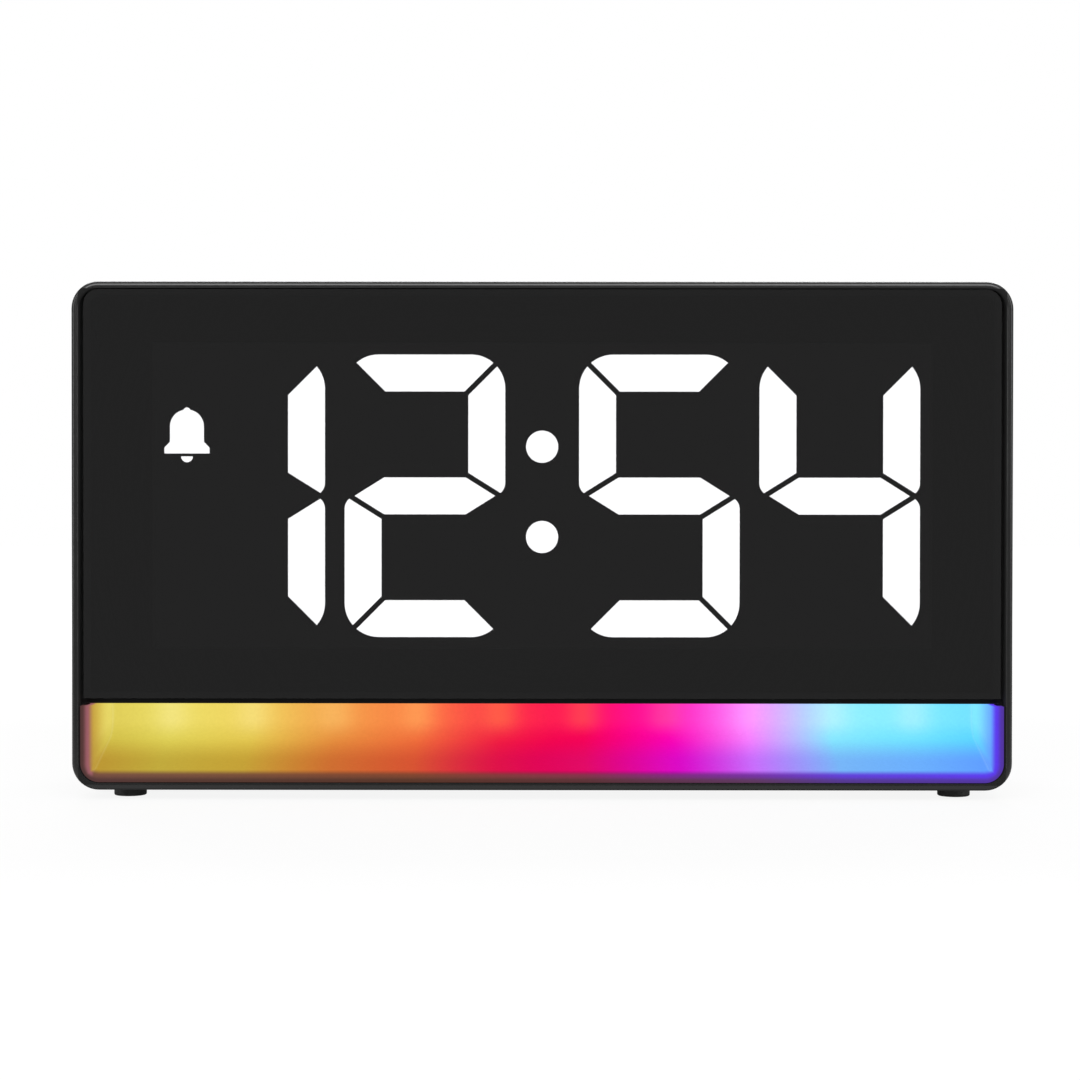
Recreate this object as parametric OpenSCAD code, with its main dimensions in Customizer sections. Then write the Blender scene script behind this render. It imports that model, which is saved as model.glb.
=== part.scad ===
// Mood light alarm clock: a flat black casing with a smoked display lens in front, a glowing
// recess below it, a snooze bar on top, and the controls, power socket and backup cell behind.
// X runs to the right seen from the front, Y towards the back and Z up.
// The origin lies on the table, under the middle of the casing.

/* [Body] */
// Width of the casing
body_w = 160; // [150:1:200]
// Height of the casing without its feet
body_h = 86.5; // [84:0.5:110]
// Depth of the casing from the front rim to the rear face
body_d = 45; // [44:0.5:60]
// Corner radius of the casing seen from the front
corner_r = 4.6; // [4.2:0.1:7]
// Wall thickness of the casing and the rear cover
wall = 2; // [1.8:0.1:2.4]
// Width of the bare rim round the front
rim_w = 1.2; // [1.1:0.1:1.5]
// Radius on the rim's outer edge
rim_edge_r = 0.7; // [0.3:0.1:0.8]
// Radius on the rim's inner edge
rim_inner_r = 0.3; // [0.1:0.05:0.4]
// Depth of the rear cover's skirt
cover_d = 9; // [8:0.5:11]
// Radius round the rear cover's edge
cover_edge_r = 2.5; // [1:0.1:3]
// Shadow gap between the casing and the rear cover
parting_gap = 0.3; // [0.1:0.1:0.6]
// Chamfer round the openings in the casing and the rear cover
edge_chamfer = 0.3; // [0.1:0.05:0.4]
// Depth of the rear cover's tongue inside the casing
tongue_d = 2.5; // [1.5:0.1:3]
// Thickness of that tongue
tongue_t = 1; // [0.8:0.1:1.4]

/* [Lens] */
// Thickness of the smoked display lens
lens_t = 2; // [1.5:0.1:3]
// Gap between the lens and the rim at its sides
lens_gap = 0.8; // [0.3:0.1:1]
// Gap between the lens and the rim along its top
lens_top_gap = 0.1; // [0.1:0.05:0.3]
// How far the lens lies behind the rim
lens_recess = 0.5; // [0.2:0.1:1]
// Thickness of the adhesive tape behind the lens
tape_t = 0.2; // [0.1:0.05:0.4]
// Height of the lens's lower edge above the casing's underside
lens_low = 15.6; // [13:0.1:17]
// How far the wall behind the lens shows below it
sill_h = 1; // [0.4:0.1:1.4]

/* [Display] */
// Time that the display shows
time_shown = "1254"; // [1254, 1038, 2107]
// Width of one digit
digit_w = 27.4; // [22:0.1:28]
// Height of one digit
digit_h = 48.2; // [38:0.1:49]
// Width of a segment
seg_w = 6.3; // [4:0.05:7]
// Gap between two segments
seg_gap = 0.9; // [0.5:0.05:1.4]
// Radius on a digit's outer corners
digit_r = 5.8; // [2:0.1:6]
// Radius where two upright segments meet at the waist
waist_r = 2.2; // [1:0.1:3]
// Slope of the segment ends at the waist, in degrees
waist_angle = 32; // [25:1:40]
// Distance between the two digits of a pair
digit_pitch = 30.75; // [29:0.05:32]
// Distance between the second and the third digit
middle_pitch = 40; // [38:0.1:42]
// Diameter of a colon dot
dot_d = 5.5; // [3:0.1:7]
// Distance between the colon dots
dot_pitch = 15.4; // [10:0.1:20]
// Width of the alarm bell sign
bell_w = 7.7; // [6:0.1:9]
// Radius of the bell's dome
bell_dome_r = 2.9; // [2:0.1:3]
// Height of the bell's straight side
bell_side_h = 2.6; // [2:0.1:4]
// Height of the bell's flare and of its base bar
bell_step_h = 1; // [0.6:0.1:1.4]
// Radius of the bell's clapper and half its knob's width
clapper_r = 1; // [0.6:0.1:1.4]
// Height of the bell's foot over the middle of the digits
bell_up = 7.2; // [5:0.1:9]
// Depth of the display's reflector block
reflector_d = 8.3; // [6:0.1:10]
// Rim of the reflector block round the digits
reflector_rim = 1.5; // [1:0.1:2]
// Depth of the frosted resin in each segment
resin_d = 2.4; // [1:0.1:4]

/* [Mood light] */
// Wall thickness of the diffuser
diffuser_t = 1.2; // [0.8:0.1:1.3]
// How far the diffuser's lip lies behind the rim
lip_recess = 0.3; // [0.1:0.1:0.5]
// Draft of the recess's end walls, in degrees
recess_draft = 1; // [0:0.5:5]
// Slope of the recess's floor, in degrees
recess_slope = 18; // [12:1:22]
// Depth of the light recess from the rim to its back
recess_d = 17.5; // [15:0.5:19]
// Radius of the knee between the recess's floor and back
knee_r = 4; // [2:0.5:6]
// Number of coloured LEDs
led_count = 10; // [4:1:10]
// Distance between the LEDs
led_pitch = 14.6; // [8:0.1:15]
// Side of one square LED
led_w = 5; // [3:0.1:5.5]
// Height of one LED
led_h = 1.6; // [1:0.1:2]
// Height of the LED board over the lens's lower edge
led_rise = 2.7; // [2.6:0.1:3.6]

/* [Boards] */
// Thickness of the circuit boards
board_t = 1.6; // [1:0.1:2]
// Thickness of the narrow LED board
led_board_t = 1; // [0.8:0.1:1.6]
// Width of the control board
control_board_w = 124; // [118:1:130]
// Height of the control board's lower edge over the casing's underside
control_board_low = 12.4; // [8:0.1:14]
// Width of the flat ribbon between the boards
ribbon_w = 12; // [8:0.5:16]
// Thickness of the flat ribbon
ribbon_t = 0.3; // [0.2:0.05:0.6]
// Diameter of the sounder
sounder_d = 12; // [9:0.5:14]
// Height of the sounder
sounder_h = 5.4; // [4:0.1:5.8]
// Height of the sounder over the casing's underside
sounder_up = 32; // [26:0.5:36]
// Number of sound slots in the rear cover
slot_count = 7; // [3:2:9]
// Width of a sound slot
slot_w = 1.4; // [1:0.1:2]
// Length of a sound slot
slot_l = 14; // [8:0.5:18]
// Distance between the sound slots
slot_pitch = 3.2; // [2.6:0.1:4]

/* [Snooze bar] */
// Length of the snooze bar
snooze_l = 64; // [58:1:90]
// Width of the snooze bar
snooze_w = 13; // [11:0.5:15]
// How far the snooze bar stands out of the top
snooze_proud = 0.7; // [0.3:0.1:1.2]
// Radius on the snooze bar's upper edge
snooze_edge_r = 0.6; // [0.2:0.1:1]
// Distance between the snooze bar's two guide blades
blade_pitch = 48; // [30:1:50]
// Thickness of a guide blade
blade_t = 3; // [2:0.1:4]

/* [Controls] */
// Diameter of a rear button
button_d = 7.4; // [6:0.1:9]
// Distance between the rear controls
button_pitch = 16; // [14:0.5:18]
// Distance of the rear controls below the casing's top
controls_drop = 22; // [20:0.5:26]
// Travel of a button and of the snooze bar
press_travel = 0.6; // [0.3:0.1:0.8]
// How far a button stands out of the control panel
button_proud = 0.8; // [0.7:0.05:1]
// Travel of the alarm slider
slide_travel = 3; // [2:0.5:4]
// Depth of the recessed control panel
panel_recess = 1; // [0.8:0.1:1.3]
// Height of the recessed control panel
panel_h = 17; // [14:0.5:20]
// Side of a square switch case
switch_w = 6; // [5:0.1:7]
// Height of a switch case
switch_h = 3.4; // [3:0.1:4]
// Diameter of a switch plunger
plunger_d = 3.4; // [2.5:0.1:4]
// Height of a plunger over its case
plunger_out = 1.6; // [1.2:0.1:2]

/* [Power] */
// Diameter of the backup cell
cell_d = 20; // [16:0.5:20.5]
// Thickness of the backup cell
cell_t = 3.2; // [2.5:0.1:3.4]
// Height of the cell over the casing's underside
cell_up = 32; // [28:0.5:36]
// Angle that frees the cell door, in degrees
door_turn = 60; // [45:5:75]
// Width of the power socket's shell
socket_w = 8.94; // [7:0.01:10]
// Height of the power socket's shell
socket_h = 3.26; // [2.8:0.01:4]
// Wall thickness of that shell
socket_t = 0.3; // [0.2:0.05:0.4]
// Height of the socket over the casing's underside
socket_up = 20.5; // [19:0.5:26]

/* [Feet and screws] */
// Diameter of a rubber foot
foot_d = 5.6; // [5:0.1:10]
// Height of a foot below the casing
foot_h = 1.8; // [1:0.1:3]
// Depth of the pocket that holds a foot
foot_pocket = 0.8; // [0.5:0.1:1.2]
// Distance from the casing's sides to the feet
foot_side = 8.5; // [7:0.5:30]
// Distance from the front rim to the front feet
foot_front = 9; // [7:0.5:12]
// Distance from the casing's rear edge to the rear feet
foot_back = 4; // [3.5:0.1:8]
// Diameter of the rear cover's screws
case_screw_d = 2.6; // [2:0.1:3]
// Length of those screws under the head
case_screw_l = 12; // [8:0.5:13]
// Diameter of the board screws
board_screw_d = 2; // [1.6:0.1:2.4]
// Length of the board screws under the head
board_screw_l = 5.5; // [4:0.5:6.5]

/* [Hidden] */
$fn = 72;
eps = 0.5; // overlap of a cut past the face that it opens

// Clearances
seat_fit = 0.1; // beside a part that is dropped into its seat
slide_fit = 0.25; // beside a part that slides in an opening
stop_fit = 0.05; // under a stop that a part rests against
thread_fit = 0.05; // round a screw in its hole
plunger_fit = 0.1; // round a plunger in its case

// Main planes of the casing
y_front = -body_d / 2;
y_rear = body_d / 2;
y_split = y_rear - cover_d;
y_inside = y_rear - wall;
z_under = foot_h;
z_top = foot_h + body_h;
z_mid = foot_h + body_h / 2;

// Lens, its seat and the wall behind it
y_lens = y_front + lens_recess;
y_seat = y_lens + lens_t + tape_t;
y_wall = y_seat + wall;
z_lens = z_under + lens_low;
z_sill = z_lens - sill_h;
lens_edge = rim_w + lens_gap;
z_lens_top = z_top - rim_w - lens_top_gap;
rail_fit = 0.3;
tape_inset = 1;

// Display block and its board
display_drop = 0.3;
display_z = (z_lens + z_lens_top) / 2 - display_drop;
digit_x = [
    -middle_pitch / 2 - digit_pitch,
    -middle_pitch / 2,
    middle_pitch / 2,
    middle_pitch / 2 + digit_pitch
];
glyphs = ["abcdef", "bc", "abdeg", "abcdg", "bcfg", "acdfg", "acdefg", "abc", "abcdefg", "abcdfg"];
reflector_w = middle_pitch + 2 * digit_pitch + digit_w + 2 * reflector_rim;
reflector_h = digit_h + 2 * reflector_rim;
y_display_board = y_seat + reflector_d;
y_display_back = y_display_board + board_t;
display_boss_r = 2.75;
display_boss_in = 3;
display_boss_x = reflector_w / 2 + slide_fit + display_boss_r + seat_fit;
display_boss_z = reflector_h / 2 - display_boss_r - display_boss_in;
display_board_w = 2 * (display_boss_x + display_boss_r + seat_fit);
display_board_rise = 0.8;
z_display_top = display_z + reflector_h / 2 + display_board_rise;
chip_led = [2, 0.7, 1.2];
dot_lift = 0.7;

// Mood light recess: its lip, slope and LED board
lip_edge = rim_w + seat_fit;
tray_edge = wall + 2 * seat_fit;
recess_edge = tray_edge + diffuser_t;
lip_w = recess_edge - lip_edge;
lip_r = min(lip_w, seat_d() - lip_recess - seat_fit);
y_lip = y_front + lip_recess + lip_r;
y_recess = y_front + recess_d;
z_recess = z_under + recess_edge;
recess_lean = tan(recess_draft);
y_knee = y_recess - knee_r;
z_knee = z_recess + (y_knee - y_lip) * tan(recess_slope) + knee_r / cos(recess_slope);
z_light_board = z_lens + led_rise;
pin_rise = 2.8;
z_display_low = z_light_board + led_board_t + pin_rise;
light_board_w = 8;
light_board_y = y_recess + diffuser_t - light_board_w;
led_fit = 0.5;
led_y = y_recess - led_w / 2 - led_fit;
led_rim = 0.5;
led_dish_r = led_w / 2 - led_rim;
led_dish_d = 0.3;
pin_count = 4;
pin_pitch = 2.54;
pin_t = 0.6;

// Screw bosses in the corners
boss_r = 3.5;
boss_bite = 0.5;
boss_l = 9;
boss_in = wall + boss_r - boss_bite;
boss_x = body_w / 2 - boss_in;
boss_z = body_h / 2 - boss_in;
y_boss = y_split - tongue_d - rail_fit;
spigot_r = boss_r - boss_bite - rail_fit;
case_head_r = 2.2;
case_head_h = 1.6;
case_head_floor = 1.5;
y_case_head = y_split + case_head_floor;
board_head_r = 1.9;
board_head_h = 1.3;
standoff_r = 2.75;

// Rear controls: a row of places with the slider in the first
button_names = ["time", "alarm", "up", "down", "light"];
place_count = len(button_names) + 1;
controls_z = z_top - controls_drop;
panel_end = 3;
panel_w = place_count * button_pitch + 2 * panel_end;
panel_r = 3;
y_panel = y_rear - panel_recess;
y_panel_in = y_panel - wall;
cap_stop_t = 0.85;
cap_stop_w = 0.9;
cap_edge_r = 0.5;
y_cap = y_panel_in - stop_fit - cap_stop_t;
y_control_back = y_cap - plunger_out - switch_h;
y_control = y_control_back - board_t;
plunger_in = 1.2;
switch_leg = [0.7, 1, 0.3];
slider_l = 4;
slider_w = 3;
slider_skirt_t = 0.7;
slider_stem = 2;
slide_case_w = 4.6;
slide_case_h = 3.6;
slider_grooves = 3;
slider_groove_w = 0.5;
board_over_controls = 9.5;
control_board_top = controls_z + board_over_controls;
control_board_z = z_under + control_board_low;
board_edge = 1;
standoff_x = control_board_w / 2 - standoff_r - board_edge;
standoff_z = [control_board_z + standoff_r + board_edge, control_board_top - standoff_r - board_edge];

// Snooze bar and its switch
snooze_stop_w = 1.2;
snooze_stop_t = 1.2;
snooze_bracket_t = 1;
snooze_switch_y = y_control - snooze_bracket_t - switch_w / 2;
snooze_switch_drop = 5;
snooze_switch_z = control_board_top - snooze_switch_drop;
snooze_stem_r = plunger_d / 2;
snooze_y = snooze_switch_y + snooze_stem_r - snooze_w / 2 - snooze_stop_w;
z_snooze_stop = z_top - wall - stop_fit - snooze_stop_t;
blade_w = 8;
guide_t = 1.4;
z_guide = z_display_top + rail_fit;
z_guide_top = z_snooze_stop - press_travel - rail_fit;

// Backup cell, its cup and its door
battery_x = 42;
battery_z = z_under + cell_up;
cell_fit = 0.25;
door_over_cell = 1.5;
door_r = cell_d / 2 + door_over_cell;
door_sink = 0.2;
door_edge_r = 0.4;
hub_in = 1;
hub_r = door_r - hub_in;
lug_count = 3;
lug_angle = 24;
lug_w = 1.4;
lug_t = 1.2;
lug_fit = 0.1;
notch_extra = 6;
cup_t = 1.2;
y_hub = y_inside - lug_fit - lug_t;
y_cell = y_hub - 2 * lug_fit - cell_t;
contact_h = 0.8;
contact_t = 0.3;
contact_w = 4;
y_cup_floor = y_cell - contact_h;
lug_zone_r = door_r + lug_w + slide_fit;
coin_slot = [12, 1.6, 0.9];

// Power socket and sounder
socket_x = -44;
socket_z = z_under + socket_up;
socket_base_d = 1.2;
tongue = [6.7, 0.7];
socket_sink = 0.2;
y_socket_mouth = y_panel - socket_sink;
plug_room = 2;
plug_room_w = socket_w + 2 * plug_room;
plug_room_h = socket_h + 2 * plug_room;
plug_room_r = 2.5;
sound_z = z_under + sounder_up;
sounder_hole_r = 1;

// Small parts on the boards
ribbon_x = -22;
ribbon_up = 49;
ribbon_z = z_under + ribbon_up;
ribbon_drop = 4;
ribbon_socket_side = 1;
ribbon_socket_d = 2.5;
ribbon_socket_h = 3.5;
ribbon_socket = [ribbon_w + 2 * ribbon_socket_side, ribbon_socket_d, ribbon_socket_h];
ribbon_r = (y_control - y_display_back - ribbon_socket[1]) / 2;
chip = [10, 1.5, 7];
chip_legs = 8;
chip_x = 20;
chip_up = 42;
chip_z = z_under + chip_up;
crystal_l = 11;
crystal_w = 4.6;
crystal_h = 3.5;
crystal_drop = 11;
crystal_z = chip_z - crystal_drop;
capacitor_r = 2.5;
capacitor_h = 7;
capacitor_rise = 14;
capacitor_z = socket_z + capacitor_rise;

// A profile of depth inwards from the outer face (X) and of Y, carried round a rounded rectangle
module around(w, h, r) {
    for (turn = [0 : 90 : 270]) {
        upright = turn % 180 == 0;
        run = (upright ? h : w) - 2 * r;
        rotate([0, -turn, 0])
            translate([(upright ? w : h) / 2 - r, 0, -run / 2])
                linear_extrude(run)
                    from_corner(r) children();
    }
    for (turn = [0 : 90 : 270])
        translate([(turn < 180 ? 1 : -1) * (w / 2 - r), 0, (turn % 270 == 0 ? -1 : 1) * (h / 2 - r)])
            rotate([0, -turn, 0])
                rotate([-90, 0, 0])
                    rotate_extrude(angle = 90)
                        from_corner(r) children();
}

// Turns a profile's depth inwards into its distance from the corner's centre
module from_corner(r) {
    translate([r, 0])
        mirror([1, 0])
            children();
}

// A front-view outline (X, Z) as a solid from y0 to y1
module slab(y0, y1) {
    translate([0, y1, 0])
        rotate([90, 0, 0])
            linear_extrude(y1 - y0)
                children();
}

// A side-view outline (Y, Z) as a solid of width w centred on X
module across(w) {
    rotate([90, 0, 90])
        linear_extrude(w, center = true)
            children();
}

// Places a part that is drawn along Z so that it points out of the back
module facing_back(x, y, z) {
    translate([x, y, z])
        rotate([-90, 0, 0])
            children();
}

module rounded_rectangle(w, h, r) {
    square([w - 2 * r, h], center = true);
    square([w, h - 2 * r], center = true);
    for (sx = [-1, 1], sz = [-1, 1])
        translate([sx * (w / 2 - r), sz * (h / 2 - r)])
            circle(r);
}

module stadium(l, w) {
    square([l - w, w], center = true);
    for (side = [-1, 1])
        translate([side * (l - w) / 2, 0])
            circle(w / 2);
}

// Half a section of a lid: width r, from z0 to z1, with its upper edge rounded
module half_lid(r, z0, z1, edge_r) {
    translate([0, z0])
        square([r, z1 - z0 - edge_r]);
    translate([0, z0])
        square([r - edge_r, z1 - z0]);
    translate([r - edge_r, z1 - edge_r])
        circle(edge_r);
}

// A half section swept along a bar with round ends
module round_bar(l, w) {
    rotate([90, 0, 90])
        linear_extrude(l - w, center = true) {
            children();
            mirror([1, 0])
                children();
        }
    for (side = [-1, 1])
        translate([side * (l - w) / 2, 0, 0])
            rotate([0, 0, side * -90])
                rotate_extrude(angle = 180)
                    children();
}

// Pie piece of a given radius, centred on an angle
module sector(r, angle, width) {
    reach = r / cos(width / 2);
    intersection() {
        circle(r);
        polygon([
            [0, 0],
            reach * [cos(angle - width / 2), sin(angle - width / 2)],
            2 * r * [cos(angle), sin(angle)],
            reach * [cos(angle + width / 2), sin(angle + width / 2)]
        ]);
    }
}

// Domed screw along Z, its head's seat at zero, with a cross recess
module screw(d, l, head_r, head_h) {
    cross_w = head_r * 0.3;
    dome_r = head_r * 1.6;
    difference() {
        union() {
            translate([0, 0, -l])
                cylinder(d = d, h = l + head_h / 2);
            rotate_extrude()
                intersection() {
                    square([head_r, head_h]);
                    translate([0, head_h - dome_r])
                        circle(dome_r);
                }
        }
        for (turn = [0, 90])
            rotate([0, 0, turn])
                translate([-head_r * 0.6, -cross_w / 2, head_h * 0.4])
                    cube([head_r * 1.2, cross_w, head_h]);
    }
}

module at_case_screws() {
    for (sx = [-1, 1], sz = [-1, 1])
        translate([sx * boss_x, 0, z_mid + sz * boss_z])
            children();
}

module at_display_screws() {
    for (sx = [-1, 1], sz = [-1, 1])
        translate([sx * display_boss_x, 0, display_z + sz * display_boss_z])
            children();
}

module at_standoffs() {
    for (sx = [-1, 1], z = standoff_z)
        translate([sx * standoff_x, 0, z])
            children();
}

function place_x(i) = (i - (place_count - 1) / 2) * button_pitch;
function button_x(i) = place_x(i + 1);

// Cut that chamfers the edge of a round hole in a face at y
module round_chamfer(x, y, z, r) {
    facing_back(x, y - edge_chamfer, z)
        cylinder(r1 = r, r2 = r + edge_chamfer + eps, h = edge_chamfer + eps);
}

// Cut that chamfers the edge of a recess in the rear face
module recess_chamfer(x, z, w, h, r) {
    translate([x, 0, z])
        around(w, h, r)
            polygon([
                [edge_chamfer, y_rear - 2 * edge_chamfer],
                [edge_chamfer, y_rear + eps],
                [-edge_chamfer - eps, y_rear + eps]
            ]);
}

// Half a section of a cut that chamfers a long round-ended opening, its face at height z
module half_chamfer(r, z) {
    polygon([
        [0, z - edge_chamfer],
        [r, z - edge_chamfer],
        [r + edge_chamfer + eps, z + eps],
        [0, z + eps]
    ]);
}

// Section of the casing: rounded rim, step for lens and diffuser, wall
module casing_section() {
    translate([0, y_seat])
        square([wall, y_split - y_seat]);
    translate([0, y_front + rim_edge_r])
        square([rim_w, seat_d() - rim_edge_r + eps]);
    translate([rim_edge_r, y_front])
        square([rim_w - rim_edge_r - rim_inner_r, seat_d()]);
    translate([rim_edge_r, y_front + rim_inner_r])
        square([rim_w - rim_edge_r, seat_d() - rim_inner_r]);
    translate([0, y_front])
        intersection() {
            square(rim_edge_r);
            translate([rim_edge_r, rim_edge_r])
                circle(rim_edge_r);
        }
    translate([rim_w - rim_inner_r, y_front + rim_inner_r])
        circle(rim_inner_r);
}

function seat_d() = y_seat - y_front;

// Wall behind the lens, with the display's window
module front_wall() {
    slab(y_seat, y_wall)
        difference() {
            intersection() {
                translate([0, z_mid])
                    rounded_rectangle(body_w - wall, body_h - wall, corner_r - wall / 2);
                translate([-body_w / 2, z_sill])
                    square([body_w, body_h]);
            }
            translate([0, display_z])
                square([reflector_w + 2 * slide_fit, reflector_h + 2 * slide_fit], center = true);
        }
}

// Ribs on both sides of each guide blade, carried by the wall and the top
module snooze_guides() {
    y_end = snooze_y + blade_w / 2;
    y_free = snooze_y - snooze_w / 2 - snooze_stop_w - rail_fit;
    for (blade = [-1, 1], side = [-1, 1])
        translate([blade * blade_pitch / 2 + side * (blade_t / 2 + slide_fit + guide_t / 2), 0, 0])
            across(guide_t)
                polygon([
                    [y_wall - eps, z_guide],
                    [y_end, z_guide],
                    [y_end, z_guide_top],
                    [y_free, z_guide_top],
                    [y_free, z_top - wall / 2],
                    [y_wall - eps, z_top - wall / 2]
                ]);
}

module front_casing() {
    color("#17181a")
        difference() {
            union() {
                translate([0, 0, z_mid])
                    around(body_w, body_h, corner_r)
                        casing_section();
                front_wall();
                at_display_screws()
                    facing_back(0, y_wall - eps, 0)
                        cylinder(r = display_boss_r, h = y_display_board - y_wall + eps);
                at_case_screws()
                    facing_back(0, y_boss - boss_l, 0)
                        cylinder(r = boss_r, h = boss_l);
                snooze_guides();
            }
            translate([0, snooze_y, z_top - wall - eps])
                linear_extrude(wall + 2 * eps)
                    stadium(snooze_l + 2 * slide_fit, snooze_w + 2 * slide_fit);
            translate([0, snooze_y, 0])
                round_bar(snooze_l + 2 * slide_fit, snooze_w + 2 * slide_fit)
                    half_chamfer(snooze_w / 2 + slide_fit, z_top);
            at_feet()
                translate([0, 0, z_under - eps])
                    cylinder(d = foot_d + 2 * seat_fit, h = foot_pocket + eps);
            at_display_screws()
                facing_back(0, y_display_back - board_screw_l - eps, 0)
                    cylinder(d = board_screw_d + 2 * thread_fit, h = board_screw_l);
            at_case_screws()
                facing_back(0, y_case_head - case_screw_l - eps, 0)
                    cylinder(d = case_screw_d + 2 * thread_fit, h = case_screw_l);
        }
}

// Section of the rear cover: tongue, skirt and rounded edge
module cover_section() {
    y_skirt = y_split + parting_gap;
    tongue_in = wall + seat_fit;
    root = 1.2;
    translate([0, y_skirt])
        square([wall, y_rear - cover_edge_r - y_skirt]);
    translate([tongue_in, y_split - tongue_d])
        square([tongue_t, tongue_d + parting_gap + root]);
    translate([wall / 2, y_skirt])
        square([wall / 2 + seat_fit + tongue_t, root]);
    translate([0, y_rear - cover_edge_r])
        intersection() {
            square(cover_edge_r);
            translate([cover_edge_r, 0])
                circle(cover_edge_r);
        }
    translate([cover_edge_r, y_rear - max(cover_edge_r, wall)])
        square([eps, max(cover_edge_r, wall)]);
}

module battery_cup() {
    facing_back(battery_x, y_hub - cup_t, battery_z)
        cylinder(r = lug_zone_r + cup_t, h = y_inside - y_hub + cup_t + eps);
    facing_back(battery_x, y_control_back + 2 * seat_fit, battery_z)
        cylinder(r = cell_d / 2 + cell_fit + cup_t, h = y_hub - y_control_back - 2 * seat_fit);
}

// Door opening, lug zone, cell pocket, the lugs' way in and the slots for the contacts
module battery_cuts() {
    facing_back(battery_x, y_inside - eps, battery_z)
        cylinder(r = door_r + slide_fit, h = wall + 2 * eps);
    facing_back(battery_x, y_hub - lug_fit, battery_z)
        cylinder(r = lug_zone_r, h = y_inside - y_hub + lug_fit);
    facing_back(battery_x, y_cup_floor, battery_z)
        cylinder(r = cell_d / 2 + cell_fit, h = y_hub - y_cup_floor);
    facing_back(battery_x, y_inside - eps, battery_z)
        linear_extrude(wall + 2 * eps)
            for (i = [0 : lug_count - 1])
                sector(lug_zone_r, i * 360 / lug_count + door_turn, lug_angle + notch_extra);
    slot = contact_w + 2 * slide_fit;
    translate([battery_x - cell_d / 2 - contact_t - 2 * slide_fit, y_control_back - eps, battery_z - slot / 2])
        cube([contact_t + 4 * slide_fit, y_hub - y_control_back + eps, slot]);
    translate([battery_x + minus_tail_x() - slide_fit, y_control_back - eps, battery_z - slot / 2])
        cube([contact_t + 2 * slide_fit, y_cup_floor - y_control_back + 2 * eps, slot]);
}

function minus_tail_x() = cell_d / 2 - 1.2;

module rear_cover() {
    color("#191a1c")
        difference() {
            union() {
                translate([0, 0, z_mid])
                    around(body_w, body_h, corner_r)
                        cover_section();
                slab(y_inside, y_rear)
                    translate([0, z_mid])
                        rounded_rectangle(
                            body_w - 2 * cover_edge_r,
                            body_h - 2 * cover_edge_r,
                            corner_r - cover_edge_r
                        );
                slab(y_panel_in, y_inside + eps)
                    translate([0, controls_z])
                        rounded_rectangle(panel_w + 2 * wall, panel_h + 2 * wall, panel_r + wall);
                slab(y_panel_in, y_inside + eps)
                    translate([socket_x, socket_z])
                        rounded_rectangle(plug_room_w + 2 * wall, plug_room_h + 2 * wall, plug_room_r + wall);
                at_case_screws()
                    facing_back(0, y_boss, 0)
                        cylinder(r = spigot_r, h = y_inside - y_boss + eps);
                at_case_screws()
                    facing_back(0, y_split + parting_gap, 0)
                        cylinder(r = boss_r, h = y_inside - y_split - parting_gap + eps);
                at_standoffs()
                    facing_back(0, y_control_back, 0)
                        cylinder(r = standoff_r, h = y_inside - y_control_back + eps);
                battery_cup();
            }
            slab(y_panel, y_rear + eps)
                translate([0, controls_z])
                    rounded_rectangle(panel_w, panel_h, panel_r);
            slab(y_panel, y_rear + eps)
                translate([socket_x, socket_z])
                    rounded_rectangle(plug_room_w, plug_room_h, plug_room_r);
            slab(y_panel_in - eps, y_rear)
                translate([socket_x, socket_z])
                    stadium(socket_w + 2 * slide_fit, socket_h + 2 * slide_fit);
            for (i = [0 : len(button_names) - 1])
                facing_back(button_x(i), y_panel_in - eps, controls_z)
                    cylinder(d = button_d + 2 * slide_fit, h = wall + 2 * eps);
            slab(y_panel_in - eps, y_rear)
                translate([place_x(0), controls_z])
                    square([slider_l + slide_travel + 2 * slide_fit, slider_w + 2 * slide_fit], center = true);
            slab(y_inside - eps, y_rear + eps)
                for (i = [0 : slot_count - 1])
                    translate([(i - (slot_count - 1) / 2) * slot_pitch, sound_z])
                        rotate(90)
                            stadium(slot_l, slot_w);
            at_case_screws()
                facing_back(0, y_boss - eps, 0)
                    cylinder(d = case_screw_d + 4 * thread_fit, h = y_rear - y_boss);
            at_case_screws()
                facing_back(0, y_case_head, 0)
                    cylinder(r = case_head_r + 2 * seat_fit, h = y_rear - y_case_head + eps);
            at_standoffs()
                facing_back(0, y_control_back - eps, 0)
                    cylinder(d = board_screw_d + 2 * thread_fit, h = board_screw_l - board_t + 2 * eps);
            recess_chamfer(0, controls_z, panel_w, panel_h, panel_r);
            recess_chamfer(socket_x, socket_z, plug_room_w, plug_room_h, plug_room_r);
            for (i = [0 : len(button_names) - 1])
                round_chamfer(button_x(i), y_panel, controls_z, button_d / 2 + slide_fit);
            at_case_screws()
                round_chamfer(0, y_rear, 0, case_head_r + 2 * seat_fit);
            round_chamfer(battery_x, y_rear, battery_z, door_r + slide_fit);
            for (i = [0 : slot_count - 1])
                facing_back((i - (slot_count - 1) / 2) * slot_pitch, y_rear, sound_z)
                    rotate([0, 0, 90])
                        round_bar(slot_l, slot_w)
                            half_chamfer(slot_w / 2, 0);
            battery_cuts();
        }
}

// Outline of everything inside the rim by a given edge, above the light recess
module lens_outline(edge) {
    lift = lens_gap - lens_top_gap;
    intersection() {
        translate([0, z_mid + lift / 2])
            rounded_rectangle(body_w - 2 * edge, body_h - 2 * edge + lift, corner_r - edge);
        translate([-body_w / 2, z_lens + edge - lens_edge])
            square([body_w, body_h]);
    }
}

module display_lens() {
    color("#222222")
        slab(y_lens, y_lens + lens_t)
            lens_outline(lens_edge);
}

module lens_tape() {
    color("#0c0c0c")
        slab(y_lens + lens_t, y_seat)
            difference() {
                lens_outline(lens_edge + tape_inset);
                translate([0, display_z])
                    square([reflector_w + 4 * slide_fit, reflector_h + 4 * slide_fit], center = true);
            }
}

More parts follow.
